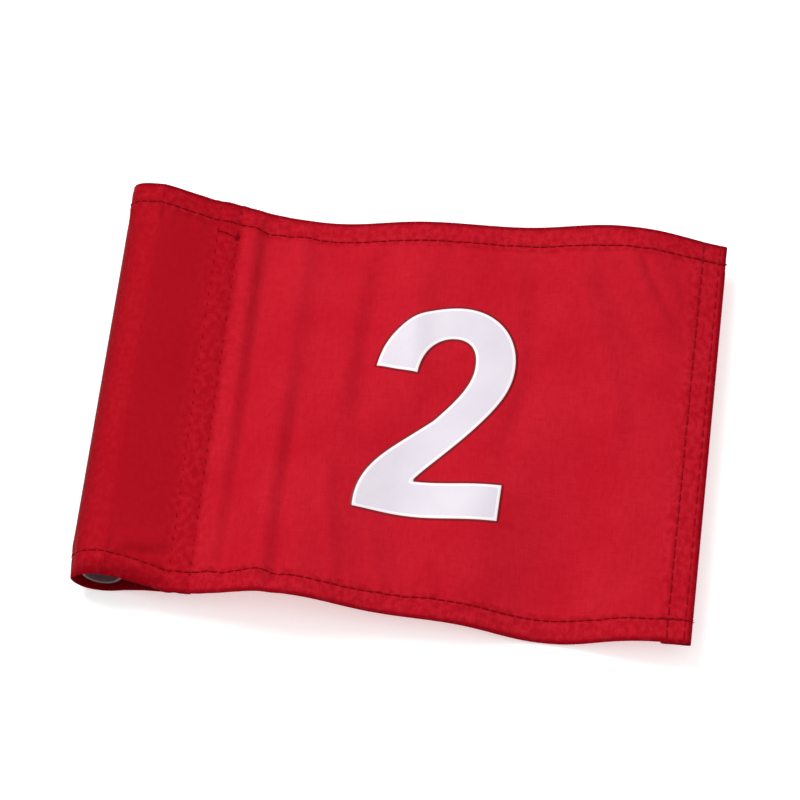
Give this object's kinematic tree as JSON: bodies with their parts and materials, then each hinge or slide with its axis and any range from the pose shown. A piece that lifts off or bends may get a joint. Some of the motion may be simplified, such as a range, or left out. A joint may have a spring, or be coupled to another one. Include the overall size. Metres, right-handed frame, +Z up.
{
  "type": "golf pin flag",
  "caption": "Small rectangular golf pin flag in hemmed woven nylon with a numeral on both faces, a sewn pole sleeve and a plastic insert tube.",
  "frame": {"origin": "middle of the base, on the surface that the flag lies on", "axes": "+X from the pole sleeve to the fly edge, +Y along the sleeve to the flag's top edge, +Z up, out of the front numeral's face"},
  "size_m": [0.2044, 0.1524, 0.0177],
  "materials": {
    "nylon": "woven nylon, soft sheen",
    "thread": "twisted polyester thread, dark red",
    "print": "matte off-white appliqued print",
    "tube_plastic": "extruded, slightly translucent warm grey"
  },
  "bodies": {
    "insert": {"insert_tube": "tube_plastic"},
    "sleeve": {"sleeve": "nylon", "sleeve_bottom_hem": "nylon", "sleeve_top_hem": "nylon", "sleeve_bottom_stitch": "thread", "sleeve_top_stitch": "thread", "seam_stitch_inner": "thread", "seam_stitch_outer": "thread", "seam_tack": "thread"},
    "panel": {"panel": "nylon", "top_hem": "nylon", "bottom_hem": "nylon", "fly_hem": "nylon", "top_hem_stitch": "thread", "bottom_hem_stitch": "thread", "fly_hem_stitch_inner": "thread", "fly_hem_stitch_outer": "thread", "thread_tail_top": "thread", "thread_tail_bottom": "thread", "numeral_front": "print", "numeral_back": "print"}
  },
  "joints": [
    {"name": "flag_turn", "type": "hinge", "parent": "insert", "child": "sleeve", "pos_m": [-0.09103, 0, 0.0079], "axis": [0, -1, 0], "continuous": true},
    {"name": "panel_fold", "type": "hinge", "parent": "sleeve", "child": "panel", "pos_m": [-0.05983, 0, 0.00773], "axis": [0, -0.9994, 0.0357], "range_deg": [-120, 120]}
  ]
}
